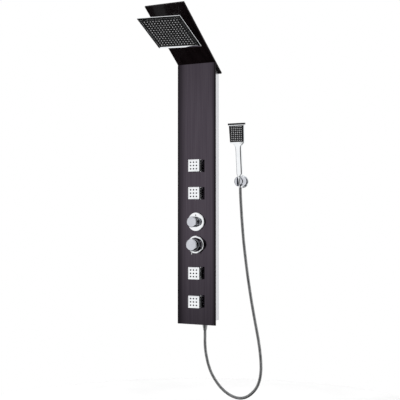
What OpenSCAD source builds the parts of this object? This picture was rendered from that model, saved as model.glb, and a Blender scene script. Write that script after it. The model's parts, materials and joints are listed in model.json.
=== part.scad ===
// Rainfall shower column: a wall panel with a slanted arm, a square rain head on a ball joint,
// four body jets, a diverter, a mixer and a hand shower on its own wall bracket.
// X runs along the wall, Y into the wall and Z up. The wall is the plane Y = 0.
// The origin is the centre of the upper wall plate. Heights count from the panel's lower edge.

/* [Panel] */
// Width of the front panel and of the arm plate
panel_w = 200; // [196:1:210]
// Height of the front panel at its front face
panel_h = 1225; // [1200:5:1300]
// Thickness of the front panel
panel_t = 6; // [5:0.5:7]
// Distance from the wall to the panel's front face
depth = 68; // [68:1:74]
// Chamfer along the panel's and the arm plate's edges
edge = 1; // [0.5:0.25:1.5]
// How far the side rails stand in from the panel's edges
rail_inset = 16; // [12:1:18]
// Height of the rails' lower end
rail_base_h = 22; // [18:1:30]
// Sheet thickness of the rails, bottom cover and arm housing
sheet = 2; // [1.5:0.5:2.5]

/* [Wall plates] */
// Height of the upper wall plate, which is the origin
hanger_h = 1120; // [1080:5:1125]
// Height of the lower wall plate
lower_hanger_h = 56; // [50:1:60]
// Distance between the two screw holes of a wall plate
hanger_pitch = 100; // [80:5:110]
// Radius of a wall plate's screw holes
hanger_hole_r = 3.25; // [2.5:0.25:4]

/* [Arm] */
// Angle of the arm above the horizontal
arm_angle = 35.5; // [34:0.5:37]
// Length of the arm's underside from the wall
arm_len = 457; // [450:1:470]
// Thickness of the arm plate
arm_t = 7; // [6:0.5:8]
// Width of the housing on top of the arm
arm_housing_w = 84; // [76:2:90]
// Height of the housing on top of the arm
arm_housing_t = 22; // [20:1:24]

/* [Rain head] */
// Side of the square head
head_w = 223; // [215:1:225]
// Thickness of the head
head_t = 12; // [11:1:14]
// Tilt of the head's face from the horizontal
head_tilt = 27; // [24:0.5:30]
// Sideways lean of the head's face
head_roll = 3; // [0:0.5:3]
// Width of the chrome frame around the face
head_rim = 13; // [11:1:15]
// Nozzles along each side of the head
head_nozzles_n = 12; // [10:1:12]
// Distance between neighbouring nozzles
head_pitch = 15.3; // [14:0.1:15.5]
// Distance along the arm from the wall to the ball
ball_reach = 354; // [345:1:360]
// Distance from the arm's underside to the ball's centre
ball_drop = 33; // [32:1:36]
// Radius of the ball
ball_r = 12; // [11:0.5:12]
// Distance from the ball's centre to the head's face
ball_to_face = 34; // [33:1:36]

/* [Body jets] */
// Height of the lowest jet
jet_1_h = 108; // [104:1:112]
// Height of the second jet
jet_2_h = 241; // [236:1:246]
// Height of the third jet
jet_3_h = 615; // [600:1:630]
// Height of the top jet
jet_4_h = 744; // [730:1:760]
// Side of a jet's square head
jet_w = 59; // [54:1:60]
// How far a jet's face stands in front of the panel
jet_out = 29; // [28:1:31]
// Depth of a jet's square head
jet_depth = 15.5; // [14:0.5:15.5]
// Distance between the nozzles of a jet
jet_pitch = 15.4; // [14:0.1:16]

/* [Diverter] */
// Height of the diverter
diverter_h = 481; // [478:1:490]
// Radius of the round plate
escutcheon_r = 43.5; // [40:0.5:45]
// Radius of the knob
diverter_r = 25.5; // [23:0.5:26]
// How far the knob stands in front of the panel
diverter_out = 49; // [44:1:52]

/* [Mixer] */
// Height of the mixer
mixer_h = 374; // [370:1:380]
// Radius of the ring around the knob
mixer_ring_r = 42; // [40:0.5:43]
// Height of the ring
mixer_ring_t = 11; // [10:0.5:12]
// Radius of the knob
mixer_r = 28; // [27:0.5:29]
// How far the knob stands in front of the panel
mixer_out = 52; // [50:1:56]

/* [Hand shower] */
// Distance of the wall bracket from the column's middle
bracket_x = 210; // [202:1:218]
// Height of the wall bracket
bracket_h = 668; // [660:1:680]
// Radius of the bracket's wall disc
bracket_r = 29.5; // [29:0.5:32]
// Radius of the cradle
cradle_r = 24.5; // [23:0.5:25]
// Width of the spray head at its top
hand_w = 84; // [78:1:88]
// Width of the grip
grip_w = 32; // [28:1:34]
// Forward lean of the hand shower in its cradle
hand_lean = 5.5; // [5:0.5:6]
// Diameter of the hose
hose_d = 14; // [13:0.5:14]

/* [Hidden] */
$fn = 64;

gap = 0.3;              // clearance between curved faces of different bodies
fit = 0.05;             // radial clearance of a running fit
big = 3000;             // larger than the whole object
back_y = -depth + panel_t;
rail_x = panel_w / 2 - rail_inset;
rail_flange = 18;
arm_root_h = panel_h - depth * tan(arm_angle);
pipe_r = 6;
elbow = 1;
valve_y = -36;          // middle of the valve bodies' ports
port_r = 8;
valve_hole_r = 18;

// Wall plates and hanger bars
plate_w = 130;
plate_half_h = 22;
plate_t = 2.5;
bar_y = -12;

// Ball joint
socket_r = 17;
neck_r = 5.5;
stem_r = 9;
collar_r = 14;

// Jets
jet_hs = [jet_1_h, jet_2_h, jet_3_h, jet_4_h];
jet_ball_r = 9;
jet_ball_z = 9;
jet_tube_r = 12;
jet_tube_back = 30;
jet_base_w = 57;
jet_stem_r = 5;
jet_nozzle_r = 3.4;

// Mixer
dome_z = 20;
dome_r = 22;
inlet_x = 52;
inlet_r = 12;
inlet_back = -2;        // the thread's end, just off the wall
thread_len = 16;
thread_r = 10.48;       // G 1/2 thread over its crests

// Hand shower
cradle_front = 50;
cradle_back = 14;
nut_len = 50;
nut_top_r = 12.5;
hand_y = -32;           // hose axis at the bracket's height
hand_drop = 28;         // the nut's lower end below the bracket's height
outlet_x = 30;
outlet_y = -38;
outlet_nut_h = -28;

// The hose's route, from the outlet under the column round to the hand shower's nut
hose_route = [
    [30, -38, -28], [30, -38, -55], [30, -38, -85], [32, -38, -115], [38, -38, -150],
    [48, -38, -187], [64, -38, -225], [86, -38, -258], [112, -38, -287], [143, -38, -310],
    [175, -38, -324], [208, -38, -329], [240, -38, -322], [268, -38, -304], [292, -38, -278],
    [308, -38, -245], [316, -38, -205], [317, -38, -165], [313, -38, -115], [304, -38, -55],
    [292, -38, 5], [280, -38, 65], [268, -38, 130], [257, -38, 195], [247, -38, 262],
    [238, -38, 330], [230, -38, 398], [224, -37, 460], [218.5, -35, 520], [213.7, -32, 575],
    [bracket_x + 1, -30, 610], [bracket_x, -29.3, 639.2]];

// ---- placing ----

module hung() translate([0, 0, -hanger_h]) children();

// local X stays, local Y becomes up and local Z points out of the panel's face
module facing(h) hung() translate([0, -depth, h]) rotate([90, 0, 0]) children();

// local -Y runs out along the arm, local Z is square to it, Z = 0 is its underside
module on_arm() hung() translate([0, 0, arm_root_h]) rotate([-arm_angle, 0, 0]) children();

// the head's own frame: origin at the ball's centre, Z out of the head's back
module on_head() on_arm() translate([0, -ball_reach, -ball_drop])
    rotate([arm_angle - head_tilt, 0, 0]) rotate([0, head_roll, 0]) children();

// the hand shower's own frame: origin at the nut's lower end, Z along the grip
module in_hand() hung() translate([bracket_x, hand_y, bracket_h]) rotate([hand_lean, 0, 0])
    translate([0, 0, -hand_drop]) children();

module below_arm() difference() {
    children();
    on_arm() translate([-big / 2, -big / 2, 0]) cube(big);
}

// outline in the Y-Z plane, drawn out along X about the middle
module side_profile(w, points) rotate([90, 0, 90]) translate([0, 0, -w / 2])
    linear_extrude(w) polygon(points);

module box_at(w, y0, y1, z0, z1) translate([-w / 2, y0, z0]) cube([w, y1 - y0, z1 - z0]);

module rod(a, b, r) {
    d = b - a;
    translate(a) rotate([0, acos(d[2] / norm(d)), atan2(d[1], d[0])]) cylinder(r = r, h = norm(d));
}

// straight stretches joined by round elbows a little wider than the pipe
module pipe(points, r) {
    for (i = [0 : len(points) - 2]) rod(points[i], points[i + 1], r);
    if (len(points) > 2) for (i = [1 : len(points) - 2]) translate(points[i]) sphere(r + elbow);
}

module hex(across, h) cylinder(r = across / sqrt(3), h = h, $fn = 6);

function arm_point(x, y, z) = [x, y * cos(arm_angle) + z * sin(arm_angle),
    arm_root_h - y * sin(arm_angle) + z * cos(arm_angle)];

// ---- column ----

module front_panel() color([0.24, 0.21, 0.24]) difference() {
    intersection() {
        below_arm() hung() side_profile(panel_w, [[back_y, 0], [-depth + edge, 0],
            [-depth, edge], [-depth, panel_h + 10], [back_y, panel_h + 10]]);
        hung() linear_extrude(panel_h + 10) polygon([[-panel_w / 2, back_y],
            [-panel_w / 2, -depth + edge], [-panel_w / 2 + edge, -depth],
            [panel_w / 2 - edge, -depth], [panel_w / 2, -depth + edge], [panel_w / 2, back_y]]);
    }
    for (h = jet_hs) facing(h) translate([0, 0, -panel_t - 1]) cylinder(r = jet_tube_r, h = panel_t + 2);
    for (h = [diverter_h, mixer_h]) facing(h) translate([0, 0, -panel_t - 1])
        cylinder(r = valve_hole_r, h = panel_t + 2);
}

module side_rail(side) color([0.86, 0.86, 0.88]) below_arm() hung()
    translate([0, 0, rail_base_h]) linear_extrude(panel_h) scale([side, 1]) polygon([
        [rail_x, 0], [rail_x, back_y], [rail_x - rail_flange, back_y],
        [rail_x - rail_flange, back_y + sheet], [rail_x - sheet, back_y + sheet],
        [rail_x - sheet, -sheet], [rail_x - rail_flange, -sheet], [rail_x - rail_flange, 0]]);

module side_rail_left() side_rail(-1);
module side_rail_right() side_rail(1);

module bottom_cover() color([0.86, 0.86, 0.88]) hung() difference() {
    box_at(2 * rail_x, back_y, 0, rail_base_h - sheet, rail_base_h);
    translate([outlet_x, outlet_y, 0]) cylinder(r = thread_r, h = 2 * rail_base_h);
}

// cross bars that hook over the wall plates
module hanger_bars() color([0.7, 0.71, 0.73]) for (h = [lower_hanger_h, hanger_h]) hung()
    translate([0, 0, h]) side_profile(2 * (rail_x - sheet), [[bar_y, 8], [bar_y, 30], [-2.9, 30],
        [-2.9, 18], [-4.6, 18], [-4.6, 28], [bar_y + 2, 28], [bar_y + 2, 8]]);

module wall_plates() color([0.7, 0.71, 0.73]) for (h = [lower_hanger_h, hanger_h]) hung()
    translate([0, 0, h]) difference() {
        side_profile(plate_w, [[0, -plate_half_h], [0, 16.5], [-5, 16.5], [-5, 24], [-7, 24],
            [-7, 14], [-plate_t, 14], [-plate_t, -plate_half_h]]);
        for (x = [-1, 1]) translate([x * hanger_pitch / 2, 1, 0]) rotate([90, 0, 0])
            cylinder(r = hanger_hole_r, h = plate_t + 2);
    }

// ---- arm ----

arm_start = arm_t * tan(arm_angle);     // keeps the top edge in front of the wall
housing_end = arm_len - 45;
screw_ys = [20, 58];
screw_x = rail_x - 9;

module arm_plate() color([0.08, 0.075, 0.08]) difference() {
    on_arm() intersection() {
        side_profile(panel_w, [[-arm_start, 0], [-arm_start, arm_t], [-arm_len, arm_t],
            [-arm_len, edge], [-arm_len + edge, 0]]);
        rotate([90, 0, 0]) linear_extrude(arm_len) polygon([[-panel_w / 2, arm_t],
            [-panel_w / 2, edge], [-panel_w / 2 + edge, 0], [panel_w / 2 - edge, 0],
            [panel_w / 2, edge], [panel_w / 2, arm_t]]);
    }
    on_arm() translate([0, -ball_reach, -1]) cylinder(r = stem_r, h = arm_t + 2);
    on_arm() box_at(30, -68, -30, -1, arm_t + 1);
    for (x = [-screw_x, screw_x], y = screw_ys) on_arm() translate([x, -y, -1]) cylinder(r = 2, h = arm_t + 2);
}

module arm_housing() color([0.8, 0.8, 0.82]) difference() {
    on_arm() box_at(arm_housing_w, -housing_end, 30, arm_t, arm_t + arm_housing_t);
    on_arm() box_at(arm_housing_w - 2 * sheet, -housing_end + sheet, 0, 0, arm_t + arm_housing_t - sheet);
    hung() translate([-big / 2, 0, 0]) cube(big);
}

// wedges that tie the arm plate to the rails
module arm_lugs() color([0.7, 0.71, 0.73]) for (side = [-1, 1]) difference() {
    below_arm() hung() translate([side * screw_x, 0, 0])
        side_profile(14, [[-56, arm_root_h - 22], [-56, panel_h], [-8, panel_h], [-8, arm_root_h - 22]]);
    for (y = screw_ys) on_arm() translate([side * screw_x, -y, -16]) cylinder(r = 2, h = 20);
}

module arm_screws() color([0.75, 0.76, 0.78]) for (x = [-screw_x, screw_x], y = screw_ys)
    on_arm() translate([x, -y, 0]) {
        translate([0, 0, -14]) cylinder(r = 2, h = 14 + arm_t);
        translate([0, 0, arm_t]) difference() {
            cylinder(r1 = 4.2, r2 = 3.4, h = 2.6);
            translate([0, 0, 1.2]) hex(3, 2);
        }
    }

// ---- rain head ----

retainer_low = 5;        // its lower lip below the ball's centre
module ball_socket() color([0.82, 0.83, 0.85]) difference() {
    on_arm() translate([0, -ball_reach, 0]) {
        translate([0, 0, -ball_drop]) cylinder(r = socket_r - 2, h = 14);
        translate([0, 0, -ball_drop + 14]) cylinder(r = socket_r, h = ball_drop - 14);
        cylinder(r = stem_r, h = arm_t + 19);
    }
    on_arm() translate([0, -ball_reach, -ball_drop]) sphere(ball_r + gap);
    on_arm() translate([0, -ball_reach, -ball_drop - 1]) cylinder(r = 4, h = ball_drop + arm_t + 20);
}

module ball_retainer() color([0.82, 0.83, 0.85]) difference() {
    on_arm() translate([0, -ball_reach, -ball_drop - retainer_low])
        cylinder(r = socket_r, h = retainer_low + 14);
    on_arm() translate([0, -ball_reach, -ball_drop]) cylinder(r = socket_r - 2, h = 20);
    on_arm() translate([0, -ball_reach, -ball_drop]) sphere(ball_r + gap);
    on_arm() translate([0, -ball_reach, -ball_drop - retainer_low - 1])
        cylinder(r = ball_r - 1.4, h = retainer_low + 2);
}

module socket_nut() color([0.72, 0.6, 0.35]) on_arm() translate([0, -ball_reach, arm_t]) difference() {
    hex(27, 6);
    translate([0, 0, -1]) cylinder(r = stem_r, h = 8);
}

module head_ball() color([0.85, 0.86, 0.88]) on_head() difference() {
    sphere(ball_r);
    translate([0, 0, -ball_r - 1]) cylinder(r = 3, h = 2 * ball_r + 2);
}

face_z = -ball_to_face;
back_z = face_z + head_t;
collar_h = 9;

module head_neck() color([0.85, 0.86, 0.88]) on_head() difference() {
    translate([0, 0, back_z + 1]) cylinder(r = neck_r, h = -back_z - 1 - 6);
    sphere(ball_r + gap);
    translate([0, 0, back_z]) cylinder(r = 3, h = -back_z);
}

module head_collar() color([0.85, 0.86, 0.88]) on_head() translate([0, 0, back_z]) difference() {
    cylinder(r1 = collar_r, r2 = collar_r - 3, h = collar_h - 2);
    translate([0, 0, -1]) cylinder(r = neck_r + fit, h = collar_h + 2);
}

module head_shell() color([0.85, 0.86, 0.88]) on_head() difference() {
    box_at(head_w, -head_w / 2, head_w / 2, back_z - 3, back_z);
    translate([0, 0, back_z - 4]) cylinder(r = neck_r + fit, h = 5);
}

module head_frame() color([0.9, 0.91, 0.93]) on_head() difference() {
    box_at(head_w, -head_w / 2, head_w / 2, face_z, back_z - 3);
    box_at(head_w - 2 * head_rim, head_rim - head_w / 2, head_w / 2 - head_rim, face_z - 1, back_z);
}

module head_face() color([0.05, 0.05, 0.06]) on_head()
    box_at(head_w - 2 * head_rim, head_rim - head_w / 2, head_w / 2 - head_rim, face_z + 1.5, back_z - 3);

module head_nozzles() color([0.7, 0.7, 0.72]) on_head() translate([0, 0, face_z - 1])
    for (i = [0 : head_nozzles_n - 1], j = [0 : head_nozzles_n - 1]) translate(head_pitch
        * [i - (head_nozzles_n - 1) / 2, j - (head_nozzles_n - 1) / 2, 0])
        cylinder(r1 = 2.2, r2 = 2.8, h = 2.5, $fn = 24);

// ---- body jets ----

module jet_sockets() color([0.6, 0.61, 0.63]) for (h = jet_hs) facing(h) difference() {
    union() {
        translate([-jet_base_w / 2, -jet_base_w / 2, 0]) cube([jet_base_w, jet_base_w, 4]);
        translate([0, 0, 4]) linear_extrude(6, scale = 34 / jet_base_w) square(jet_base_w, center = true);
        translate([0, 0, -jet_tube_back]) cylinder(r = jet_tube_r, h = jet_tube_back);
    }
    translate([0, 0, 2.5]) cylinder(r = 15.5, h = 20);
    translate([0, 0, jet_ball_z]) sphere(jet_ball_r + gap);
    translate([0, 0, -jet_tube_back - 1]) cylinder(r = jet_stem_r + fit, h = jet_tube_back + 5);
}

module jet_lock_nuts() color([0.72, 0.6, 0.35]) for (h = jet_hs) facing(h)
    translate([0, 0, -panel_t - 8]) difference() {
        hex(34, 8);
        translate([0, 0, -1]) cylinder(r = jet_tube_r, h = 10);
    }

module jet_ball(h) color([0.8, 0.81, 0.83]) facing(h) difference() {
    union() {
        translate([0, 0, jet_ball_z]) sphere(jet_ball_r);
        translate([0, 0, -20]) cylinder(r = jet_stem_r, h = 20 + jet_ball_z);
    }
    translate([0, 0, -21]) cylinder(r = 2.5, h = 60);
}

module jet_head(h) color([0.9, 0.91, 0.93]) facing(h) difference() {
    union() {
        translate([-jet_w / 2, -jet_w / 2, jet_out - jet_depth]) cube([jet_w, jet_w, jet_depth]);
        translate([0, 0, jet_ball_z - 2.5]) cylinder(r = 13, h = 8);
    }
    translate([0, 0, jet_ball_z]) sphere(jet_ball_r + gap);
    jet_grid() translate([0, 0, jet_out - 3]) cylinder(r = jet_nozzle_r, h = 4);
}

module jet_grid() for (i = [-1 : 1], j = [-1 : 1]) translate([i, j, 0] * jet_pitch) children();

module jet_nozzles(h) color([0.1, 0.1, 0.11]) facing(h) jet_grid()
    translate([0, 0, jet_out - 3]) cylinder(r = jet_nozzle_r, h = 3.6);

module jet_ball_1() jet_ball(jet_hs[0]);
module jet_head_1() jet_head(jet_hs[0]);
module jet_nozzles_1() jet_nozzles(jet_hs[0]);
module jet_ball_2() jet_ball(jet_hs[1]);
module jet_head_2() jet_head(jet_hs[1]);
module jet_nozzles_2() jet_nozzles(jet_hs[1]);
module jet_ball_3() jet_ball(jet_hs[2]);
module jet_head_3() jet_head(jet_hs[2]);
module jet_nozzles_3() jet_nozzles(jet_hs[2]);
module jet_ball_4() jet_ball(jet_hs[3]);
module jet_head_4() jet_head(jet_hs[3]);
module jet_nozzles_4() jet_nozzles(jet_hs[3]);

// ---- diverter ----

index_y = 31;
module diverter_escutcheon() color([0.88, 0.89, 0.91]) facing(diverter_h) difference() {
    rotate_extrude() polygon([[8, 0], [escutcheon_r, 0], [escutcheon_r, 5.5],
        [escutcheon_r - 2.5, 8], [8, 8]]);
    translate([0, index_y, 6]) cylinder(r = 2, h = 4);
}

module diverter_index() color([0.1, 0.1, 0.11]) facing(diverter_h)
    translate([0, index_y, 6]) cylinder(r = 2, h = 2.4);

module port(a, b) hung() rod(a, b, port_r);

port_reach = 34;
module diverter_body() color([0.72, 0.6, 0.35]) difference() {
    union() {
        facing(diverter_h) translate([0, 0, -56]) cylinder(r = 22, h = 56 - panel_t);
        port([-port_reach, valve_y, diverter_h], [0, valve_y, diverter_h]);
        port([0, valve_y, diverter_h + 10], [port_reach, valve_y, diverter_h + 10]);
        port([0, valve_y, diverter_h - 12], [port_reach, valve_y, diverter_h - 12]);
        port([0, valve_y, diverter_h - 36], [0, valve_y, diverter_h]);
    }
    facing(diverter_h) translate([0, 0, -32]) cylinder(r = 15, h = 40);
}

module diverter_cartridge() color([0.85, 0.85, 0.83]) facing(diverter_h) difference() {
    translate([0, 0, -32]) cylinder(r = 15, h = 31);
    translate([0, 0, -14]) cylinder(r = 5 + fit, h = 20);
}

module diverter_spindle() color([0.72, 0.6, 0.35]) facing(diverter_h)
    translate([0, 0, -12]) cylinder(r = 5, h = 44);

module diverter_knob() color([0.88, 0.89, 0.91]) facing(diverter_h) difference() {
    rotate_extrude() polygon([[0, 10], [diverter_r, 10], [diverter_r, diverter_out - 1.5],
        [diverter_r - 1.5, diverter_out], [0, diverter_out]]);
    translate([0, 0, 5]) cylinder(r = 5, h = 27);
}

// ---- mixer ----

module mixer_ring() color([0.9, 0.91, 0.93]) facing(mixer_h) rotate_extrude() polygon([[32, 0],
    [mixer_ring_r, 0], [mixer_ring_r, mixer_ring_t - 2], [mixer_ring_r - 2, mixer_ring_t],
    [33, mixer_ring_t], [32, mixer_ring_t - 1]]);

module mixer_body() color([0.72, 0.6, 0.35]) difference() {
    union() {
        facing(mixer_h) translate([0, 0, -56]) cylinder(r = 24, h = 56 - panel_t);
        hung() rod([-inlet_x - inlet_r, valve_y, mixer_h], [inlet_x + inlet_r, valve_y, mixer_h], inlet_r);
        port([0, valve_y, mixer_h], [0, valve_y, mixer_h + 36]);
    }
    facing(mixer_h) translate([0, 0, -32]) cylinder(r = 17, h = 40);
}

module mixer_cartridge() color([0.85, 0.85, 0.83]) facing(mixer_h) difference() {
    translate([0, 0, -32]) cylinder(r = 17, h = 31);
    translate([0, 0, -14]) cylinder(r = 6 + fit, h = 20);
}

module mixer_dome() color([0.88, 0.89, 0.91]) facing(mixer_h) {
    difference() {
        translate([0, 0, dome_z]) sphere(dome_r);
        translate([-big / 2, -big / 2, 6 - big]) cube(big);
    }
    translate([0, 0, 0.5]) cylinder(r = 14, h = 6);
    translate([0, 0, -12]) cylinder(r = 6, h = 13);
}

lever_z = mixer_out - 7;
module mixer_knob() color([0.9, 0.91, 0.93]) facing(mixer_h) difference() {
    rotate_extrude() polygon([[0, 17], [mixer_r - 1, 17], [mixer_r, 18], [mixer_r, mixer_out - 2],
        [mixer_r - 2, mixer_out], [0, mixer_out]]);
    translate([0, 0, dome_z]) sphere(dome_r + gap);
    translate([0, -mixer_r + 8, lever_z]) rotate([90, 0, 0]) cylinder(r = 2.5, h = 20);
}

module mixer_lever() color([0.88, 0.89, 0.91]) facing(mixer_h)
    translate([0, -mixer_r + 8, lever_z]) rotate([90, 0, 0]) {
        cylinder(r = 2.5, h = 23);
        translate([0, 0, 23]) sphere(2.5);
    }

// ---- water ways inside the column ----

// points back at the wall from the mixer's cross tube
module inlet(x) color([0.72, 0.6, 0.35]) hung() difference() {
    translate([x, inlet_back, mixer_h]) rotate([90, 0, 0]) {
        cylinder(r = thread_r, h = -valve_y + inlet_back);
        translate([0, 0, thread_len]) hex(24, 10);
    }
    rod([-big, valve_y, mixer_h], [big, valve_y, mixer_h], inlet_r);
}
module hot_inlet() inlet(-inlet_x);
module cold_inlet() inlet(inlet_x);

module valve_link_tube() color([0.78, 0.79, 0.8]) hung()
    rod([0, valve_y, mixer_h + 36], [0, valve_y, diverter_h - 36], pipe_r);

module head_feed_hose() color([0.6, 0.61, 0.63]) hung() pipe([
    [port_reach, valve_y, diverter_h + 10], [58, valve_y, diverter_h + 10], [58, valve_y, 1080],
    [10, valve_y, arm_root_h - 25], arm_point(0, -50, 0), arm_point(0, -60, arm_t + 13),
    arm_point(0, -ball_reach + stem_r, arm_t + 13)], 5);

pipe_x = 31.5;          // between the mixer's body and its inlets
pipe_y = -15;
module jet_feed_tube() color([0.78, 0.79, 0.8]) hung() {
    pipe([[-port_reach, valve_y, diverter_h], [-46, valve_y, diverter_h],
        [-46, pipe_y, diverter_h], [-pipe_x, pipe_y, diverter_h]], pipe_r);
    rod([-pipe_x, pipe_y, jet_1_h - 6], [-pipe_x, pipe_y, jet_4_h + 6], pipe_r);
    for (h = jet_hs) pipe([[-pipe_x, pipe_y, h], [0, pipe_y, h],
        [0, -depth + jet_tube_back, h]], pipe_r - 1.5);
}

module handset_feed_tube() color([0.78, 0.79, 0.8]) hung() pipe([
    [port_reach, valve_y, diverter_h - 12], [46, valve_y, diverter_h - 12],
    [46, pipe_y, diverter_h - 12], [pipe_x, pipe_y, diverter_h - 12], [pipe_x, pipe_y, 150],
    [outlet_x, outlet_y, 110], [outlet_x, outlet_y, 44]], pipe_r);

module hose_outlet() color([0.82, 0.83, 0.85]) hung() translate([outlet_x, outlet_y, 0]) {
    translate([0, 0, rail_base_h]) hex(26, 22);
    translate([0, 0, 2]) cylinder(r = thread_r, h = rail_base_h - 2);
}

// ---- hose and hand shower ----

module hose_nut_lower() color([0.86, 0.87, 0.89]) hung() translate([outlet_x, outlet_y, outlet_nut_h])
    difference() {
        rotate_extrude() polygon([[0, 0], [8, 0], [12.5, 26], [13, 28], [13, 42], [12.5, 43], [0, 43]]);
        translate([0, 0, 2 - outlet_nut_h]) cylinder(r = thread_r, h = 30);
    }

// a smooth curve through the route's points, one extra ring between neighbours
function route_at(p, i) = p[max(0, min(len(p) - 1, i))];
function between(p, i) = (9 * (route_at(p, i) + route_at(p, i + 1))
    - route_at(p, i - 1) - route_at(p, i + 2)) / 16;
function refined(p) = [for (i = [0 : len(p) - 1]) each (i < len(p) - 1 ? [p[i], between(p, i)] : [p[i]])];
function unit(v) = v / norm(v);
function heading(p, i) = unit(route_at(p, i + 1) - route_at(p, i - 1));
function ring(c, t, r, n) = let (b = unit(cross(t, [0, 1, 0])), s = cross(b, t))
    [for (k = [0 : n - 1]) c + r * (cos(360 * k / n) * b + sin(360 * k / n) * s)];

module tube(path, r, n) {
    rings = [for (i = [0 : len(path) - 1]) each ring(path[i], heading(path, i), r, n)];
    last = len(path) - 1;
    sides = [for (i = [0 : last - 1], k = [0 : n - 1]) let (a = i * n + k, b = i * n + (k + 1) % n)
        each [[a, b, b + n], [a, b + n, a + n]]];
    ends = [[for (k = [0 : n - 1]) n - 1 - k], [for (k = [0 : n - 1]) last * n + k]];
    polyhedron(rings, concat(sides, ends));
}

module hose() color([0.55, 0.55, 0.57]) hung() tube(refined(hose_route), hose_d / 2, 10);

module hose_nut_upper() color([0.86, 0.87, 0.89]) in_hand() rotate_extrude()
    polygon([[0, 0], [8, 0], [nut_top_r - 0.5, 40], [nut_top_r, 42], [nut_top_r, nut_len - 1],
        [nut_top_r - 1, nut_len], [0, nut_len]]);

module bracket_disc() color([0.88, 0.89, 0.91]) hung() translate([bracket_x, 0, bracket_h])
    rotate([90, 0, 0]) difference() {
        rotate_extrude() polygon([[0, 0], [bracket_r, 0], [bracket_r, 5], [bracket_r - 2, 7], [12, 7],
            [12, cradle_back], [0, cradle_back]]);
        for (y = [-21, 21]) translate([0, y, -1]) cylinder(r = 2.25, h = 10);
    }

module bracket_cradle() color([0.86, 0.87, 0.89]) difference() {
    hung() translate([bracket_x, 0, bracket_h]) rotate([90, 0, 0]) rotate_extrude()
        polygon([[0, cradle_back], [cradle_r - 1, cradle_back], [cradle_r, cradle_back + 1],
            [cradle_r, cradle_front - 1.5], [cradle_r - 1.5, cradle_front], [0, cradle_front]]);
    in_hand() translate([0, 0, -20]) cylinder(r = 8.5, h = 100);
    in_hand() cylinder(r1 = 8.5, r2 = nut_top_r + 0.5, h = 40);
    in_hand() translate([0, 0, 39.9]) cylinder(r = nut_top_r + 0.5, h = 40);
    in_hand() translate([-8.5, -60, -20]) cube([17, 60, 100]);
}

grip_end = 205;
head_low = 203;
head_high = 300;
cap_low = 288;          // the wide cap along the spray head's upper edge
hand_front = -17;       // the spray head's front face
module handset_body() color([0.88, 0.89, 0.91]) in_hand() difference() {
    union() {
        translate([0, 0, nut_len + gap]) cylinder(r1 = 10.5, r2 = 11.5, h = 12);
        translate([0, 0, nut_len + 11]) linear_extrude(grip_end - nut_len - 11) {
            square([grip_w, 9], center = true);
            square([grip_w - 8, 17], center = true);
            for (x = [-1, 1], y = [-1, 1]) translate([x * (grip_w / 2 - 4), y * 4.5]) circle(4, $fn = 32);
        }
        translate([0, hand_front + 13, 0]) rotate([90, 0, 0]) linear_extrude(13) polygon([
            [-grip_w / 2, head_low - 14], [grip_w / 2, head_low - 14],
            [hand_w / 2 - 6.5, head_low], [hand_w / 2 - 4, cap_low + 1],
            [4 - hand_w / 2, cap_low + 1], [6.5 - hand_w / 2, head_low]]);
        box_at(hand_w, hand_front - 2, hand_front + 14, cap_low, head_high);
        box_at(30, -8, 8.5, grip_end - 30, grip_end + 35);
    }
    hand_face_block(hand_front - 1, 4);
}

module hand_face_block(y, t) translate([0, y + t, 0]) rotate([90, 0, 0]) linear_extrude(t)
    polygon([[-34, 210], [34, 210], [36, 286], [-36, 286]]);

module handset_face() color([0.05, 0.05, 0.06]) in_hand() {
    hand_face_block(hand_front + 0.5, 2.5);
    for (i = [0 : 5], j = [0 : 7]) translate([9.7 * (i - 2.5), hand_front + 0.5, 249 + 9 * (j - 3.5)])
        rotate([90, 0, 0]) cylinder(r1 = 2, r2 = 1.6, h = 1.2, $fn = 24);
}

front_panel();
side_rail_left();
side_rail_right();
bottom_cover();
hanger_bars();
wall_plates();
arm_plate();
arm_housing();
arm_lugs();
arm_screws();
ball_socket();
ball_retainer();
socket_nut();
head_ball();
head_neck();
head_collar();
head_shell();
head_frame();
head_face();
head_nozzles();
jet_sockets();
jet_lock_nuts();
jet_ball_1();
jet_head_1();
jet_nozzles_1();
jet_ball_2();
jet_head_2();
jet_nozzles_2();
jet_ball_3();
jet_head_3();
jet_nozzles_3();
jet_ball_4();
jet_head_4();
jet_nozzles_4();
diverter_escutcheon();
diverter_index();
diverter_body();
diverter_cartridge();
diverter_spindle();
diverter_knob();
mixer_ring();
mixer_body();
mixer_cartridge();
mixer_dome();
mixer_knob();
mixer_lever();
hot_inlet();
cold_inlet();
valve_link_tube();
head_feed_hose();
jet_feed_tube();
handset_feed_tube();
hose_outlet();
bracket_disc();
bracket_cradle();
hose();
hose_nut_lower();
hose_nut_upper();
handset_body();
handset_face();
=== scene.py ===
import json
from math import cos, pi, radians, sin, tan

import bmesh
import bpy
from mathutils import Matrix, Vector

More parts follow.
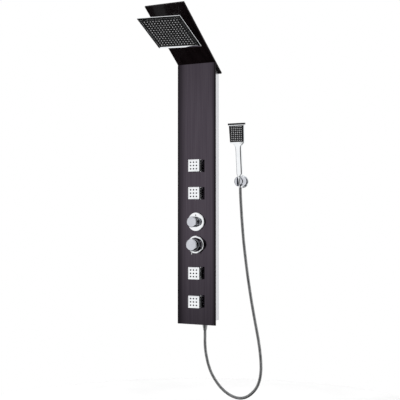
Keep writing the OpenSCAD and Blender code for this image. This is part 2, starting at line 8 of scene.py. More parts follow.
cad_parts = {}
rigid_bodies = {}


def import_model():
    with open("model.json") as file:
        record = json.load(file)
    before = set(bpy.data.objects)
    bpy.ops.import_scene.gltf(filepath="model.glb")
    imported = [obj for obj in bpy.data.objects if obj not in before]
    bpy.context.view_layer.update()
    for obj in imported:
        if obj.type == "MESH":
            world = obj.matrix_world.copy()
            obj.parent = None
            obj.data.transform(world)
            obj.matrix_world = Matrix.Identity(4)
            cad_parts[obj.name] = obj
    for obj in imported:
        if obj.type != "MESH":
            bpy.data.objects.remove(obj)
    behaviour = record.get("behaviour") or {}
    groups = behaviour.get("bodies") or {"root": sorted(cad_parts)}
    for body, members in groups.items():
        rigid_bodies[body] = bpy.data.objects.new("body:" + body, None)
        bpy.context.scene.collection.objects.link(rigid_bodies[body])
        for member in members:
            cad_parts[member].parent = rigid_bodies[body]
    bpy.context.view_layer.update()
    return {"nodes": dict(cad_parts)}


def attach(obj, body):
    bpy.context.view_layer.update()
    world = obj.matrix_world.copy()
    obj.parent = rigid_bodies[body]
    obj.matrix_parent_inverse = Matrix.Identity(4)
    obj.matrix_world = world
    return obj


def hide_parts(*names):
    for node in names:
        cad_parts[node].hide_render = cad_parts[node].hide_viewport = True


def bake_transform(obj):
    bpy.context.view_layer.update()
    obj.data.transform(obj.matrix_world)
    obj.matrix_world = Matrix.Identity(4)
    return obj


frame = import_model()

mm = 0.001
hangerHeight = 1120         # of the frame's zero above the panel's lower edge
panelDepth = 68
bracketX, bracketHeight = 210, 668
scene = bpy.context.scene
scene.view_settings.view_transform = "Standard"


# camera
cameraSetup = {
    "place": (2.0441, -3.8763, -0.6239),
    "aim": (-0.0169, 0.0, -0.5353),
    "lens": 82.9,
}


def makeCamera(setup):
    data = bpy.data.cameras.new("studioCamera")
    data.lens, data.sensor_width = setup["lens"], 36
    data.clip_start, data.clip_end = 0.05, 60
    camera = bpy.data.objects.new("studioCamera", data)
    scene.collection.objects.link(camera)
    place, aim = Vector(setup["place"]), Vector(setup["aim"])
    camera.location = place
    camera.rotation_mode = "QUATERNION"
    camera.rotation_quaternion = (aim - place).to_track_quat("-Z", "Y")
    scene.camera = camera


makeCamera(cameraSetup)
print("camera ready")


# where things sit: each place turns a local drawing in mm into the column's metres
def turn(degrees, axis):
    return Matrix.Rotation(radians(degrees), 4, axis)


def move(x, y, z):
    return Matrix.Translation((x * mm, y * mm, z * mm))


def facing(height):        # local z comes out of the panel's face, local y is up
    return move(0, -panelDepth, height - hangerHeight) @ turn(90, "X")


armAngle, headTilt, headLean = 35.5, 27, 3
panelHeight = 1225
armRoot = panelHeight - panelDepth * tan(radians(armAngle))
inColumn = move(0, 0, -hangerHeight)
onArm = move(0, 0, armRoot - hangerHeight) @ turn(-armAngle, "X")
onHead = onArm @ move(0, -354, -33) @ turn(armAngle - headTilt, "X") @ turn(headLean, "Y")
inHand = move(bracketX, -32, bracketHeight - hangerHeight) @ turn(5.5, "X") @ move(0, 0, -28)
atOutlet = move(30, -38, -28 - hangerHeight)
onBracket = move(bracketX, 0, bracketHeight - hangerHeight) @ turn(90, "X")


# drawing shells: points in mm and the faces between them
def softened(line, radius, steps=4, closed=False):
    out = []
    for i, p in enumerate(line):
        if not closed and i in (0, len(line) - 1):
            out.append(tuple(p))
            continue
        c, a, b = Vector(p), Vector(line[i - 1]), Vector(line[(i + 1) % len(line)])
        d = min(radius, (a - c).length * 0.45, (b - c).length * 0.45)
        start, end = c + (a - c).normalized() * d, c + (b - c).normalized() * d
        for s in range(steps + 1):
            t = s / steps
            out.append(tuple((1 - t) ** 2 * start + 2 * t * (1 - t) * c + t * t * end))
    return out


def loft(rings, closed=False, caps=True):
    count, points = len(rings[0]), [p for ring in rings for p in ring]
    faces = []
    for i in range(len(rings) if closed else len(rings) - 1):
        a, b = i * count, (i + 1) % len(rings) * count
        faces += [(a + k, a + (k + 1) % count, b + (k + 1) % count, b + k) for k in range(count)]
    if caps and not closed:
        faces += [tuple(range(count))[::-1], tuple(len(points) - count + k for k in range(count))]
    return points, faces


def circle(radius, z, sides, flutes=0, depth=0.0):
    turns = [2 * pi * k / sides for k in range(sides)]
    size = [radius - depth * (0.5 - 0.5 * cos(flutes * a)) for a in turns]
    return [(r * cos(a), r * sin(a), z) for r, a in zip(size, turns)]


def lathe(profile, sides=64, flutes=0, depth=0.0, between=(0, 0)):
    # a profile of (radius, height) turned about z; flutes cut the stretch between two heights
    rings = [circle(r, z, sides, flutes, depth if between[0] < z < between[1] else 0)
             for r, z in profile if r > 0]
    open0, open1 = profile[0][0] > 0, profile[-1][0] > 0
    points, faces = loft(rings, closed=open0 and open1, caps=False)
    last = len(points) - sides
    if not open0:
        points.append((0, 0, profile[0][1]))
        faces += [(len(points) - 1, (k + 1) % sides, k) for k in range(sides)]
    if not open1:
        points.append((0, 0, profile[-1][1]))
        faces += [(len(points) - 1, last + k, last + (k + 1) % sides) for k in range(sides)]
    return points, faces


def roundedRing(halfX, halfY, z, corner, x=0.0, y=0.0, steps=4):
    ring = []
    for quarter, (sx, sy) in enumerate(((1, 1), (-1, 1), (-1, -1), (1, -1))):
        for s in range(steps + 1):
            a = pi / 2 * (quarter + s / steps)
            ring.append((x + sx * (halfX - corner) + corner * cos(a),
                         y + sy * (halfY - corner) + corner * sin(a), z))
    return ring


def squareTurned(profile, corner, closed=False):
    # a profile of (half width, height) carried round a square with rounded corners
    widest = max(w for w, z in profile)
    rings = [roundedRing(w, w, z, max(0.3, corner - (widest - w))) for w, z in profile]
    return loft(rings, closed)


def makePiece(name, shells, finishes, body, replaced=(), sharp=32):
    # shells holds (shell, place) or (shell, place, number of its finish)
    mesh = bpy.data.meshes.new(name)
    grid = bmesh.new()
    for shell, place, *which in shells:
        made = [grid.verts.new(place @ (Vector(p) * mm)) for p in shell[0]]
        for face in shell[1]:
            grid.faces.new([made[k] for k in face]).material_index = which[0] if which else 0
    bmesh.ops.recalc_face_normals(grid, faces=grid.faces)
    for face in grid.faces:
        face.smooth = True
    grid.to_mesh(mesh)
    grid.free()
    mesh.set_sharp_from_angle(angle=radians(sharp))
    for f in finishes:
        mesh.materials.append(f)
    piece = bpy.data.objects.new(name, mesh)
    scene.collection.objects.link(piece)
    if body:
        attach(piece, body)
    if replaced:
        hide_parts(*replaced)
    return piece


def carve(piece, cutters, rounding):
    # cuts the shells out of a piece and rounds the edges that are left
    for number, (shell, place) in enumerate(cutters):
        tool = makePiece(f"cutter{number}", [(shell, place)], [], None)
        cut = piece.modifiers.new("cut", "BOOLEAN")
        cut.operation, cut.solver, cut.object = "DIFFERENCE", "EXACT", tool
    edge = piece.modifiers.new("edge", "BEVEL")
    edge.width, edge.segments, edge.limit_method = rounding * mm, 3, "ANGLE"
    edge.angle_limit = radians(38)
    bpy.context.view_layer.update()
    shaped = bpy.data.meshes.new_from_object(piece.evaluated_get(bpy.context.evaluated_depsgraph_get()))
    piece.modifiers.clear()
    piece.data = shaped
    shaped.set_sharp_from_angle(angle=radians(34))
    for tool in [o for o in scene.objects if o.name.startswith("cutter")]:
        bpy.data.objects.remove(tool)


# finishes
finishLooks = {
    # tone and tone2 are mixed by the grain; rough is the smoothest and roughest the grain makes it
    "panelLacquer": {"tone": (0.061, 0.050, 0.064), "tone2": (0.078, 0.066, 0.081), "rough": (0.05, 0.09),
                     "metal": 1.0, "grain": 3.0, "stretch": (60, 60, 1.2), "fine": 900, "bump": 0.012,
                     # across and upward darken the base colour toward both long edges and toward the
                     # bottom: painted shade on the panel's reflection
                     "across": ((0.0, 0.2), (0.16, 0.8), (0.24, 1.0), (0.9, 1.0), (0.94, 0.62), (1.0, 0.4)),
                     "upward": ((0.0, 0.54), (0.35, 1.0), (0.8, 1.0), (1.0, 0.82))},
    # painted shade: a near-black, non-metal copy of the panel lacquer for the faces along the long edges
    "shadedRimLacquer": {"tone": (0.003, 0.002, 0.003), "tone2": (0.007, 0.004, 0.006), "rough": (0.4, 0.5),
                   "grain": 30, "stretch": (1, 1, 0.2), "fine": 900, "bump": 0.03, "gloss": 0.1},
    "armLacquer": {"tone": (0.003, 0.001, 0.0015), "tone2": (0.008, 0.004, 0.005), "rough": (0.36, 0.5),
                   "grain": 8, "stretch": (8, 1, 1), "coat": 0.12, "coatRough": 0.08,
                   "fine": 800, "bump": 0.03, "gloss": 0.1},
    "railAluminium": {"tone": (0.60, 0.60, 0.62), "tone2": (0.74, 0.74, 0.76), "rough": (0.26, 0.42),
                      "metal": 1.0, "grain": 6, "stretch": (180, 180, 1), "fine": 1500, "bump": 0.05},
    "zincSteel": {"tone": (0.50, 0.51, 0.53), "tone2": (0.72, 0.73, 0.75), "rough": (0.32, 0.5),
                  "metal": 1.0, "grain": 110, "cells": True, "fine": 600, "bump": 0.06},
    "chrome": {"tone": (0.86, 0.88, 0.90), "tone2": (0.93, 0.945, 0.96), "rough": (0.03, 0.06),
               "metal": 1.0, "grain": 35, "fine": 300, "bump": 0.008},
    # painted shade: a darker copy of the chrome, used on the knobs and the bracket cradle
    "shadedChrome": {"tone": (0.54, 0.555, 0.60), "tone2": (0.62, 0.635, 0.68), "rough": (0.05, 0.1),
                   "metal": 1.0, "grain": 35, "fine": 300, "bump": 0.008},
    "satinChrome": {"tone": (0.66, 0.67, 0.69), "tone2": (0.78, 0.79, 0.80), "rough": (0.18, 0.28),
                    "metal": 1.0, "grain": 60, "fine": 700, "bump": 0.03},
    "blackFace": {"tone": (0.002, 0.002, 0.0025), "tone2": (0.006, 0.006, 0.007), "rough": (0.28, 0.38),
                  "grain": 90, "fine": 1400, "bump": 0.04, "gloss": 0.25},
    "paleNozzle": {"tone": (0.44, 0.44, 0.45), "tone2": (0.62, 0.62, 0.63), "rough": (0.4, 0.55),
                   "grain": 220, "fine": 1800, "bump": 0.06},
    "darkNozzle": {"tone": (0.012, 0.012, 0.014), "tone2": (0.035, 0.035, 0.038), "rough": (0.42, 0.58),
                   "grain": 220, "fine": 1800, "bump": 0.06},
    "brass": {"tone": (0.55, 0.38, 0.15), "tone2": (0.78, 0.58, 0.27), "rough": (0.24, 0.42),
              "metal": 1.0, "grain": 45, "fine": 500, "bump": 0.08},
    "cartridgePlastic": {"tone": (0.66, 0.66, 0.63), "tone2": (0.78, 0.78, 0.75), "rough": (0.38, 0.5),
                         "grain": 120, "fine": 1200, "bump": 0.04},
    "braidedSteel": {"tone": (0.22, 0.22, 0.23), "tone2": (0.75, 0.76, 0.78), "rough": (0.25, 0.4),
                     "metal": 1.0, "grain": 330, "cells": True, "fine": 420, "bump": 0.35},
    "hoseSteel": {"tone": (0.19, 0.193, 0.196), "tone2": (0.34, 0.344, 0.348), "rough": (0.18, 0.28),
                  "metal": 1.0, "grain": 70, "fine": 700, "bump": 0.04},
}


def fadeAlong(nodes, links, position, reach, stops):
    # a grey that follows the stops between two positions
    spread = nodes.new("ShaderNodeMapRange")
    spread.inputs["From Min"].default_value, spread.inputs["From Max"].default_value = reach
    links.new(position, spread.inputs["Value"])
    ramp = nodes.new("ShaderNodeValToRGB")
    while len(ramp.color_ramp.elements) < len(stops):
        ramp.color_ramp.elements.new(0.5)
    for element, (place, grey) in zip(ramp.color_ramp.elements, stops):
        element.position, element.color = place, (grey, grey, grey, 1)
    links.new(spread.outputs["Result"], ramp.inputs["Fac"])
    return ramp.outputs["Color"]


def makeFinish(name, look):
    material = bpy.data.materials.new(name)
    material.use_nodes = True
    nodes, links = material.node_tree.nodes, material.node_tree.links
    shader = nodes["Principled BSDF"]
    where = nodes.new("ShaderNodeTexCoord")
    stretch = nodes.new("ShaderNodeMapping")
    stretch.inputs["Scale"].default_value = look.get("stretch", (1, 1, 1))
    links.new(where.outputs["Object"], stretch.inputs["Vector"])
    if look.get("cells"):
        grain = nodes.new("ShaderNodeTexVoronoi")
        amount = grain.outputs["Distance"]
    else:
        grain = nodes.new("ShaderNodeTexNoise")
        grain.inputs["Detail"].default_value = 4
        amount = grain.outputs["Fac"]
    grain.inputs["Scale"].default_value = look["grain"]
    links.new(stretch.outputs["Vector"], grain.inputs["Vector"])
    ramp = nodes.new("ShaderNodeValToRGB")
    low, high = ramp.color_ramp.elements
    low.position, high.position = look.get("span", (0.32, 0.68))
    low.color, high.color = (*look["tone"], 1), (*look["tone2"], 1)
    links.new(amount, ramp.inputs["Fac"])
    tint = ramp.outputs["Color"]
    # painted shade: the across and upward stops darken the colour toward the panel's long edges and toward
    # its bottom
    if "across" in look:
        apart = nodes.new("ShaderNodeSeparateXYZ")
        links.new(where.outputs["Object"], apart.inputs["Vector"])
        for axis, reach, stops in (("X", (-0.1, 0.1), look["across"]), ("Z", (-1.12, 0.1), look["upward"])):
            mixed = nodes.new("ShaderNodeVectorMath")
            mixed.operation = "MULTIPLY"
            links.new(tint, mixed.inputs[0])
            links.new(fadeAlong(nodes, links, apart.outputs[axis], reach, stops), mixed.inputs[1])
            tint = mixed.outputs["Vector"]
    links.new(tint, shader.inputs["Base Color"])
    rough = nodes.new("ShaderNodeMapRange")
    rough.inputs["From Min"].default_value, rough.inputs["From Max"].default_value = 0.25, 0.75
    rough.inputs["To Min"].default_value, rough.inputs["To Max"].default_value = look["rough"]
    links.new(amount, rough.inputs["Value"])
    links.new(rough.outputs["Result"], shader.inputs["Roughness"])
    fine = nodes.new("ShaderNodeTexNoise")
    fine.inputs["Scale"].default_value = look["fine"]
    fine.inputs["Detail"].default_value = 2
    links.new(where.outputs["Object"], fine.inputs["Vector"])
    bump = nodes.new("ShaderNodeBump")
    bump.inputs["Strength"].default_value = look["bump"]
    bump.inputs["Distance"].default_value = 0.0005
    links.new(fine.outputs["Fac"], bump.inputs["Height"])
    links.new(bump.outputs["Normal"], shader.inputs["Normal"])
    shader.inputs["Metallic"].default_value = look.get("metal", 0.0)
    shader.inputs["Coat Weight"].default_value = look.get("coat", 0.0)
    shader.inputs["Coat Roughness"].default_value = look.get("coatRough", 0.03)
    shader.inputs["Specular IOR Level"].default_value = look.get("gloss", 0.5)
    return material


finish = {name: makeFinish(name, look) for name, look in finishLooks.items()}
print("finishes ready")


# hose: a spiral steel sleeve from the outlet round to the hand shower
hoseLook = {
    "radius": 7.0,
    "pitch": 3.6,           # one turn of the spiral
    "groove": 0.6,
    "ringsPerTurn": 5,
    "sides": 18,
}
hoseRoute = [
    (30, -38, -28), (30, -38, -55), (30, -38, -85), (32, -38, -115), (38, -38, -150),
    (48, -38, -187), (64, -38, -225), (86, -38, -258), (112, -38, -287), (143, -38, -310),
    (175, -38, -324), (208, -38, -329), (240, -38, -322), (268, -38, -304), (292, -38, -278),
    (308, -38, -245), (316, -38, -205), (317, -38, -165), (313, -38, -115), (304, -38, -55),
    (292, -38, 5), (280, -38, 65), (268, -38, 130), (257, -38, 195), (247, -38, 262),
    (238, -38, 330), (230, -38, 398), (224, -37, 460), (218.5, -35, 520), (213.7, -32, 575),
    (211, -30, 610), (210, -29.3, 639.2)]


def smoothRoute(points, step):
    # a curve through the points, then even steps along it
    fine = []
    for i in range(len(points) - 1):
        a, b = Vector(points[max(i - 1, 0)]), Vector(points[i])
        c, d = Vector(points[i + 1]), Vector(points[min(i + 2, len(points) - 1)])
        for s in range(24):
            t = s / 24
            fine.append(0.5 * (2 * b + (c - a) * t + (2 * a - 5 * b + 4 * c - d) * t * t
                               + (3 * b - a - 3 * c + d) * t ** 3))
    fine.append(Vector(points[-1]))
    gone = [0.0]
    for p, q in zip(fine, fine[1:]):
        gone.append(gone[-1] + (q - p).length)
    count, k, even = round(gone[-1] / step), 0, []
    for i in range(count + 1):
        want = gone[-1] * i / count
        while k < len(fine) - 2 and gone[k + 1] < want:
            k += 1
        share = (want - gone[k]) / max(gone[k + 1] - gone[k], 1e-9)
        even.append(fine[k].lerp(fine[k + 1], min(max(share, 0), 1)))
    return even, gone[-1]


def makeHose(look):
    step = look["pitch"] / look["ringsPerTurn"]
    centres, length = smoothRoute(hoseRoute, step)
    rings, sides = [], look["sides"]
    for i, c in enumerate(centres):
        ahead = (centres[min(i + 1, len(centres) - 1)] - centres[max(i - 1, 0)]).normalized()
        across = ahead.cross(Vector((0, 1, 0))).normalized()
        side = across.cross(ahead)
        ring = []
        for k in range(sides):
            a = 2 * pi * k / sides
            wave = 0.5 - 0.5 * cos(2 * pi * (i / look["ringsPerTurn"] - k / sides))
            r = look["radius"] - look["groove"] * wave ** 3
            ring.append(tuple(c + r * (cos(a) * across + sin(a) * side)))
        rings.append(ring)
    hose = makePiece("showerHose", [(loft(rings), inColumn)], [finish["hoseSteel"]], None,
                     ["hose"], sharp=180)
    path = [tuple(inColumn @ (c * mm)) for c in centres]
    return hose, path, length * mm


hose, hosePath, hoseLength = makeHose(hoseLook)

nutLook = {"flutes": 20, "fluteDepth": 0.7}
lowerNut = softened([(0, 0.4), (7.6, 0.4), (8.2, 1.6), (12.2, 25), (12.9, 27), (12.9, 29), (12.3, 30),
                     (12.8, 31), (12.8, 40.5), (12.0, 43), (10.6, 43), (10.6, 41)], 0.6, 3)
nutLow = makePiece("hoseNutLow", [
    (lathe([*lowerNut, (0, 41)], 80, nutLook["flutes"], nutLook["fluteDepth"], (30.2, 40.6)), atOutlet)],
    [finish["hoseSteel"]], "root", ["hose_nut_lower"])
upperNut = softened([(0, 0.3), (7.6, 0.3), (8.2, 1.4), (11.8, 38), (12.4, 40.5), (12.4, 48.6),
                     (11.6, 49.9), (0, 49.9)], 0.6, 3)
nutHigh = makePiece("hoseNutHigh", [
    (lathe(upperNut, 80, nutLook["flutes"], nutLook["fluteDepth"], (41, 48)), inHand)],
    [finish["chrome"]], "hose_end", ["hose_nut_upper"])

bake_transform(hose)
print(f"hose ready, {hoseLength:.3f} m")


# panel and arm
panelLook = {
    "half": 100,
    "rim": 5.0,             # width of the shallow slope along the long edges
    "rimDrop": 0.9,
    "leftExtra": 1.2,       # how much further the left edge stands out
}


def makePanel(look):
    wide, rim, drop = look["half"], look["rim"], look["rimDrop"]
    half = [(wide, -62), (wide, -66.3), (wide - 0.4, -66.9), (wide - 1, drop - panelDepth),
            (wide - rim, -panelDepth)]
    outline = [(-x - look["leftExtra"], y) for x, y in half] + half[::-1]

    def top(y):
        return armRoot - y * tan(radians(armAngle))

    low = [(x * 0.996, max(y, -67.2), 0) for x, y in outline]
    rings = [low, [(x, y, 1.0) for x, y in outline], [(x, y, top(y)) for x, y in outline]]
    shell = loft(rings)
    panel = makePiece("panelSkin", [(shell, inColumn)], [finish["panelLacquer"], finish["shadedRimLacquer"]],
                      "root", ["front_panel"], sharp=4)
    # the faces along the long edges take the shaded copy of the lacquer: painted shade
    for face in panel.data.polygons:
        if abs(face.center.x) > (wide - rim) * mm and abs(face.normal.z) < 0.5:
            face.material_index = 1
    return panel


makePanel(panelLook)


# rain head
rainLook = {
    "half": 111.5,
    "rim": 13.0,
    "nozzles": 12,
    "pitch": 15.3,
    "nozzleSides": 14,
}


def makeRainHead(look):
    half, inner = look["half"], look["half"] - look["rim"]
    border = softened([(half - 5, -25.1), (half, -30.1), (half, -32.0), (half - 0.4, -32.3),
                       (inner + 0.6, -34), (inner, -33.6), (inner, -25.1)], 0.3, 3, closed=True)
    makePiece("rainFrame", [(squareTurned(border, 3, closed=True), onHead)], [finish["chrome"]],
              "rain_head", ["head_frame"])
    back = softened([(half - 5.2, -25), (half - 7.6, -22.5), (half - 8.4, -22)], 0.4, 3)
    makePiece("rainShell", [(squareTurned(back, 3), onHead)], [finish["chrome"]],
              "rain_head", ["head_shell"])
    plate = [(inner - 0.1, -25.2), (inner - 0.1, -32.1), (inner - 0.6, -32.5)]
    shells = [(squareTurned(plate, 2), onHead)]
    makePiece("rainFace", shells, [finish["blackFace"]], "rain_head", ["head_face"])
    tip = softened([(2.9, -32.4), (2.9, -32.9), (2.4, -33.2), (2.1, -34.7), (1.6, -35), (0.8, -35),
                    (0.7, -33.8)], 0.25, 2)
    nozzle = lathe([*tip, (0, -33.8)], look["nozzleSides"])
    spread = [(i - (look["nozzles"] - 1) / 2) * look["pitch"] for i in range(look["nozzles"])]
    makePiece("rainNozzles", [(nozzle, onHead @ move(x, y, 0)) for x in spread for y in spread],
              [finish["paleNozzle"]], "rain_head", ["head_nozzles"])


makeRainHead(rainLook)
print("rain head ready")


# body jets
jetLook = {
    "heights": (108, 241, 615, 744),
    "half": 29.5,
    "back": 13.5,
    "front": 29.0,
    "pitch": 15.4,
    "nozzleRadius": 3.8,
}


def makeJet(number, height, look):
    half, back, front, r = look["half"], look["back"], look["front"], look["nozzleRadius"]
    place = facing(height)
    block = softened([(half - 1.2, back), (half, back + 0.8), (half, front - 2.2),
                      (half - 1.6, front)], 0.8, 3)
    block += [(half - 4.4, front), (half - 4.9, front - 0.5)]
    collar = lathe([(0, 6.8), (12.4, 6.8), (13, 7.6), (13, 14), (0, 14)], 48)
    makePiece(f"jetHead{number}", [(squareTurned(block, 2.4), place), (collar, place)],
              [finish["chrome"]], f"jet_{number}_spray", [f"jet_head_{number}"])
    tip = softened([(r, front - 1.5), (r, front + 0.2), (r - 0.5, front + 0.6), (1.9, front + 0.6),
                    (1.3, front - 0.1), (0, front - 0.1)], 0.3, 2)
    nozzle = lathe([(0, front - 1.5), *tip], 24)
    spots = [look["pitch"] * k for k in (-1, 0, 1)]
    makePiece(f"jetNozzles{number}", [(nozzle, place @ move(x, y, 0)) for x in spots for y in spots],
              [finish["darkNozzle"]], f"jet_{number}_spray", [f"jet_nozzles_{number}"])


for number, height in enumerate(jetLook["heights"], 1):
    makeJet(number, height, jetLook)
print("jets ready")


# diverter
diverterLook = {"height": 481, "plate": 43.5, "knob": 25.5, "out": 49}


def makeDiverter(look):
    place, r, k = facing(look["height"]), look["plate"], look["knob"]
    plate = softened([(8, 0.2), (r, 0.2), (r, 4.8), (r - 1.4, 5.9), (24, 8), (8, 8)], 0.8, 4, closed=True)
    makePiece("diverterPlate", [(lathe(plate, 96), place)], [finish["chrome"]], "root",
              ["diverter_escutcheon"])
    dot = softened([(0, 5), (3.1, 5), (3.1, 8.2), (0, 8.2)], 0.5, 3)
    makePiece("diverterDot", [(lathe(dot, 24), place @ move(0, 31, 0))], [finish["darkNozzle"]], "root",
              ["diverter_index"])
    out = look["out"]
    knob = softened([(0, 10.2), (k - 1.5, 10.2), (k - 0.2, 11.2), (k - 0.2, 14), (k - 0.9, 14.6),
                     (k - 0.9, 15.6), (k, 16.2), (k, out - 2.4), (k - 2.2, out - 0.3), (k - 5, out),
                     (0, out - 0.6)], 0.8, 4)
    # the knob is drawn in the darker copy of chrome: painted shade
    makePiece("diverterKnob", [(lathe(knob, 96), place)], [finish["shadedChrome"]], "diverter_control",
              ["diverter_knob"])


makeDiverter(diverterLook)


# mixer
mixerLook = {"height": 374, "ring": 42, "ringDepth": 11, "knob": 28, "out": 52}


def makeMixer(look):
    place, r, t, k, out = facing(look["height"]), look["ring"], look["ringDepth"], look["knob"], look["out"]
    ring = softened([(32, 0.2), (r, 0.2), (r, t - 2.5), (r - 2.2, t), (33.4, t), (32, t - 1.4)],
                    1.0, 4, closed=True)
    makePiece("mixerRing", [(lathe(ring, 96), place)], [finish["chrome"]], "root", ["mixer_ring"])
    dome = [(0, 0.5), (14, 0.5), (14, 5.9)]
    dome += [(22 * sin(radians(a)), 20 - 22 * cos(radians(a))) for a in range(50, 180, 6)] + [(0, 42)]
    stem = lathe(softened([(0, -12), (6, -12), (6, 1), (0, 1)], 0.4, 2), 32)
    makePiece("mixerDome", [(lathe(dome, 72), place), (stem, place)], [finish["chrome"]], "mixer_turret",
              ["mixer_dome"])
    knob = [(k - 6.0, 17.2), (k - 1.2, 17.2), (k, 18.4), (k, out - 2.8), (k - 2.6, out - 0.2), (k - 6, out)]
    knob = [(0, 43), (8, 42.6), (15, 37.2), (k - 7.0, 27), *softened(knob, 0.8, 4), (0, out - 0.7)]
    # the knob is drawn in the darker copy of chrome: painted shade
    makePiece("mixerKnob", [(lathe(knob, 96), place)], [finish["shadedChrome"]], "mixer_handle",
              ["mixer_knob"])
    pin = softened([(0, 0), (2.5, 0), (2.5, 8.6), (2.2, 9.2), (2.2, 10.2), (2.5, 10.8), (2.5, 22.6),
                    (2.3, 24.4), (1.3, 25.4), (0, 25.5)], 0.5, 3)
    makePiece("mixerLever", [(lathe(pin, 32), place @ move(0, -k + 8, out - 7) @ turn(90, "X"))],
              [finish["chrome"]], "mixer_handle", ["mixer_lever"])


makeMixer(mixerLook)
print("controls ready")


# wall bracket
bracketLook = {"disc": 29.5, "cradle": 24.5, "back": 14, "front": 50, "slot": 8.5}


def makeBracket(look):
    r, back, front, slot = look["cradle"], look["back"], look["front"], look["slot"]
    disc = softened([(0, 0), (look["disc"], 0), (look["disc"], 4.6), (look["disc"] - 2.2, 6.8), (13.5, 7.2),
                     (12, 8.6), (12, back), (0, back)], 1.0, 4)
    makePiece("bracketDisc", [(lathe(disc, 80), onBracket)], [finish["chrome"]], "root",
              ["bracket_disc"])
    cup = softened([(0, back), (r - 1, back), (r, back + 1), (r, front - 6), (r - 2, front - 2.4),
                    (r - 6, front), (0, front)], 3.0, 4)
    # the cradle is drawn in the darker copy of chrome: painted shade
    cradle = makePiece("bracketCradle", [(lathe(cup, 80), onBracket)], [finish["shadedChrome"]], "root",
                       ["bracket_cradle"])
    bore = lathe([(0, -20), (8.5, -20), (8.5, 0), (13, 40), (13, 90), (0, 90)], 64)
    gate = loft([[(-slot, -60, z), (slot, -60, z), (slot, 0, z), (-slot, 0, z)] for z in (-20, 90)])
    carve(cradle, [(bore, inHand), (gate, inHand)], 0.8)


makeBracket(bracketLook)


# hand shower
handLook = {
    "low": 203, "high": 288,            # the spray head's lower and upper edge
    "halfLow": 35.5, "halfHigh": 38,
    "faceLow": 210, "faceHigh": 285.5,
    "cap": (42, 289, 297),              # half width, lower and upper edge
    "front": -17, "back": -4,
    "grip": 16,
    "nozzles": (6, 8),
    "nozzlePitch": (9.7, 9.0),
    "nozzleMiddle": 249,
}


def slab(outline, levels, corner):
    # a plate standing in the head's plane; levels hold (inset, y)
    low, high, wide0, wide1 = outline
    rings = []
    for inset, y in levels:
        line = [(inset - wide0, low + inset), (wide0 - inset, low + inset),
                (wide1 - inset, high - inset), (inset - wide1, high - inset)]
        rings.append([(x, y, z) for x, z in softened(line, corner, 5, closed=True)])
    return loft(rings)


def makeHandShower(look):
    front, back, w = look["front"], look["back"], look["grip"]
    low, high, wide0, wide1 = look["low"], look["high"], look["halfLow"], look["halfHigh"]
    # each ring of the grip: height, half width, half depth, y, corner radius
    grip = [(50.6, 10.2, 10.2, 0, 10), (52, 11, 10.9, 0, 10.8), (56, 12.6, 10.8, 0, 9),
            (60, w - 1, 9.4, 0, 9), (64, w, 8.9, 0, 8.4), (70, w, 8.8, 0, 8.4), (120, w, 8.8, 0, 8.4),
            (178, w, 8.8, 0, 8.4),
            (190, w + 1.6, 8.5, 0, 7.4), (197, w + 5, 8.1, 0.1, 6), (202, w + 11, 7.4, 0.2, 5),
            (205, wide0 - 3, 6.4, -1.0, 4), (214, wide0 - 5, 5.4, -1.6, 4), (226, w + 6, 4.2, -2.0, 3),
            (236, w, 2.6, -3.0, 2)]
    handle = loft([roundedRing(hx, hy, s, corner, 0, y, 6) for s, hx, hy, y, corner in grip])
    levels = [(2.4, back), (0.8, back - 0.5), (0, back - 1.8), (0, front + 1.3), (0.4, front + 0.4),
              (1.2, front)]
    block = slab((low, high, wide0, wide1), levels, 4)
    capWide, capLow, capHigh = look["cap"]
    lip = slab((high - 2.2, capLow + 0.3, capWide - 0.8, capWide - 0.8),
               [(0.8, back), (0, back - 0.8), (0, front - 0.4), (0.6, front - 1)], 1.5)
    cap = slab((capLow, capHigh, capWide, capWide),
               [(1.8, back + 0.6), (0.5, back + 0.1), (0, back - 1), (0, front - 0.6),
                (0.6, front - 1.6), (2, front - 2)], 2.6)
    # the cap is drawn in the black face finish, while the body around it is chrome
    makePiece("handBody", [(handle, inHand), (block, inHand), (lip, inHand), (cap, inHand, 1)],
              [finish["chrome"], finish["blackFace"]], "hand_shower", ["handset_body"])
    levels = [(0, front + 0.6), (0, front - 0.2), (0.5, front - 0.5)]
    shells = [(slab((look["faceLow"], look["faceHigh"], wide0 - 0.9, wide1 - 1.0), levels, 2), inHand)]
    tip = softened([(2.2, -0.6), (2.2, 0.2), (1.6, 0.5), (1.3, 1.1), (0.7, 1.1), (0.5, 0.4), (0, 0.4)],
                   0.2, 2)
    nozzle = lathe([(0, -0.6), *tip], 14)
    columns, rows = look["nozzles"]
    stepX, stepZ = look["nozzlePitch"]
    for i in range(columns):
        for j in range(rows):
            spot = move(stepX * (i - (columns - 1) / 2), front - 0.5,
                        look["nozzleMiddle"] + stepZ * (j - (rows - 1) / 2))
            shells.append((nozzle, inHand @ spot @ turn(90, "X"), 1))
    makePiece("handFace", shells, [finish["blackFace"], finish["paleNozzle"]], "hand_shower",
              ["handset_face"])


makeHandShower(handLook)
print("hand shower ready")


# finishes on the frame's own pieces
frameFinishes = {
    "railAluminium": ("side_rail_left", "side_rail_right", "bottom_cover", "arm_housing"),
    "armLacquer": ("arm_plate",),
    "zincSteel": ("hanger_bars", "wall_plates", "arm_lugs", "arm_screws"),
    "chrome": ("ball_socket", "ball_retainer", "head_ball", "head_neck", "head_collar", "hose_outlet"),
    "satinChrome": ("jet_sockets", "jet_ball_1", "jet_ball_2", "jet_ball_3", "jet_ball_4",
                    "valve_link_tube", "jet_feed_tube", "handset_feed_tube"),
    "brass": ("socket_nut", "jet_lock_nuts", "diverter_body", "diverter_spindle", "mixer_body",
              "hot_inlet", "cold_inlet"),
    "cartridgePlastic": ("diverter_cartridge", "mixer_cartridge"),
    "braidedSteel": ("head_feed_hose",),
}
for name, nodeNames in frameFinishes.items():
    for nodeName in nodeNames:
        for materialSlot in frame["nodes"][nodeName].material_slots:
            materialSlot.material = finish[name]
print("frame finishes ready")


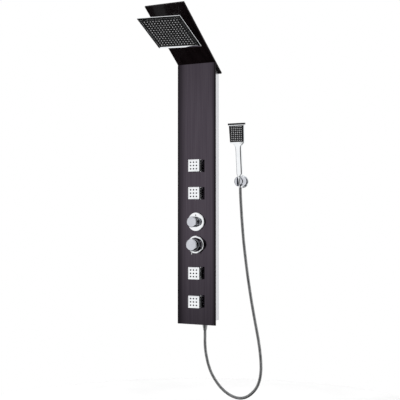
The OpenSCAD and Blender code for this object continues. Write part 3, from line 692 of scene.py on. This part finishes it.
# studio
studioLook = {
    "floorDrop": -1.62,
    "floorRadius": 1.4,
    "paper": {"tone": (0.90, 0.90, 0.90), "tone2": (0.94, 0.94, 0.94), "rough": (0.7, 0.85),
              "grain": 3, "fine": 120, "bump": 0.02, "gloss": 0.2},
    # softer and darker patches of the room: azimuth, elevation, inner and outer angle, brightness
    "patches": ((38, 0, 20, 42, 0.03), (0, 31, 16, 27, 0.1), (0, -31, 16, 27, 0.1),
                (0, -90, 38, 48, 0.02), (-108, -35, 16, 20, 0.03), (-76, 8, 16, 28, 0.25)),
    "lights": (
        {"place": (-2.6, -3.2, 1.6), "aim": (0, 0, -0.4), "size": 2.2, "power": 90},
        {"place": (2.8, -2.4, 1.2), "aim": (0, -0.1, -0.5), "size": 1.6, "power": 45},
    ),
}


def makeRoom(look):
    world = bpy.data.worlds.new("studioRoom")
    scene.world = world
    world.use_nodes = True
    nodes, links = world.node_tree.nodes, world.node_tree.links
    nodes.clear()
    where = nodes.new("ShaderNodeTexCoord")
    shade = None
    for azimuth, elevation, inner, outer, bright in look["patches"]:
        a, e = radians(azimuth), radians(elevation)
        toward = nodes.new("ShaderNodeVectorMath")
        toward.operation = "DOT_PRODUCT"
        toward.inputs[1].default_value = (sin(a) * cos(e), -cos(a) * cos(e), sin(e))
        links.new(where.outputs["Generated"], toward.inputs[0])
        soft = nodes.new("ShaderNodeMapRange")
        soft.interpolation_type = "SMOOTHSTEP"
        soft.inputs["From Min"].default_value = cos(radians(outer))
        soft.inputs["From Max"].default_value = cos(radians(inner))
        soft.inputs["To Min"].default_value, soft.inputs["To Max"].default_value = 1.0, bright
        links.new(toward.outputs["Value"], soft.inputs["Value"])
        if shade is None:
            shade = soft.outputs["Result"]
        else:
            both = nodes.new("ShaderNodeMath")
            both.operation = "MULTIPLY"
            links.new(shade, both.inputs[0])
            links.new(soft.outputs["Result"], both.inputs[1])
            shade = both.outputs["Value"]
    room, plain = nodes.new("ShaderNodeBackground"), nodes.new("ShaderNodeBackground")
    links.new(shade, room.inputs["Strength"])
    ray, pick = nodes.new("ShaderNodeLightPath"), nodes.new("ShaderNodeMixShader")
    links.new(ray.outputs["Is Camera Ray"], pick.inputs["Fac"])
    links.new(room.outputs["Background"], pick.inputs[1])
    links.new(plain.outputs["Background"], pick.inputs[2])
    out = nodes.new("ShaderNodeOutputWorld")
    links.new(pick.outputs["Shader"], out.inputs["Surface"])
    for background in (room, plain):
        background.inputs["Color"].default_value = (1, 1, 1, 1)


def makeLights(look):
    for number, lamp in enumerate(look["lights"]):
        data = bpy.data.lights.new(f"softbox{number}", "AREA")
        data.size, data.energy = lamp["size"], lamp["power"]
        softbox = bpy.data.objects.new(f"softbox{number}", data)
        scene.collection.objects.link(softbox)
        softbox.location = lamp["place"]
        aim = Vector(lamp["aim"]) - Vector(lamp["place"])
        softbox.rotation_euler = aim.to_track_quat("-Z", "Y").to_euler()
        softbox.visible_glossy = False


def makeFloor(look):
    rings = [circle(look["floorRadius"] / mm * share, 0, 96) for share in (1.0, 0.6, 0.3, 0.1)]
    shell = loft(rings, caps=False)
    shell[1].append(tuple(3 * 96 + k for k in range(96)))
    place = Matrix.Translation((0, 0, look["floorDrop"]))
    paper = makeFinish("floorPaper", look["paper"])
    floor = makePiece("studioFloor", [(shell, place)], [paper], None)
    floor.visible_glossy = False


makeRoom(studioLook)
makeLights(studioLook)
makeFloor(studioLook)
print("studio ready")
